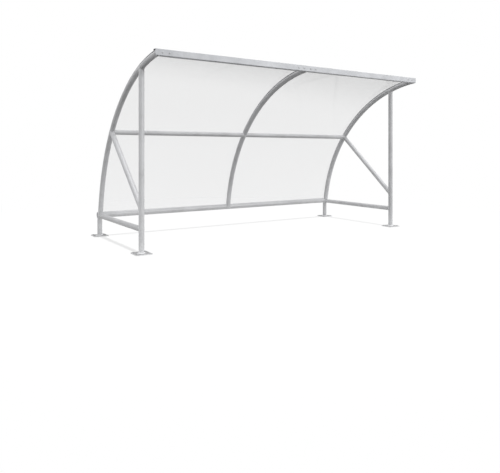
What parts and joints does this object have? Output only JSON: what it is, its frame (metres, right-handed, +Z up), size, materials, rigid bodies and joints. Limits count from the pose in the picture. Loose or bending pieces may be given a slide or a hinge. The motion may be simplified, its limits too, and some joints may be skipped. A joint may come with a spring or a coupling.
{
  "type": "bike shelter",
  "caption": "Open bike shelter: bent tube hoops on a tubular base frame carry curved clear sheets that form roof and back in one sweep, with a flat rail along the front.",
  "frame": {"origin": "on the ground, at the middle of the length and of the depth", "axes": "+X along the shelter, the open side faces -Y, +Z up"},
  "size_m": [3.98, 1.976, 2.1057],
  "materials": {
    "galvanised_steel": "hot-dip galvanised",
    "clear_sheet": "clear",
    "rubber_seal": "matte",
    "end_plug": "matte"
  },
  "bodies": {
    "root": {"base_plate_front_left": "galvanised_steel", "base_plate_front_right": "galvanised_steel", "base_plate_rear_left": "galvanised_steel", "base_plate_rear_right": "galvanised_steel", "bottom_rail": "galvanised_steel", "bottom_rail_plug_left": "end_plug", "bottom_rail_plug_right": "end_plug", "clear_sheet_left": "clear_sheet", "clear_sheet_right": "clear_sheet", "cover_strip_left": "galvanised_steel", "cover_strip_middle": "galvanised_steel", "cover_strip_right": "galvanised_steel", "front_post_left": "galvanised_steel", "front_post_right": "galvanised_steel", "front_rail": "galvanised_steel", "front_seal_left": "rubber_seal", "front_seal_right": "rubber_seal", "hoop_left": "galvanised_steel", "hoop_middle": "galvanised_steel", "hoop_right": "galvanised_steel", "mid_rail_left": "galvanised_steel", "mid_rail_right": "galvanised_steel", "rail_cleat_left": "galvanised_steel", "rail_cleat_middle": "galvanised_steel", "rail_cleat_right": "galvanised_steel", "rear_leg_left": "galvanised_steel", "rear_leg_right": "galvanised_steel", "side_brace_left": "galvanised_steel", "side_brace_right": "galvanised_steel", "side_rail_left": "galvanised_steel", "side_rail_right": "galvanised_steel"}
  },
  "joints": []
}
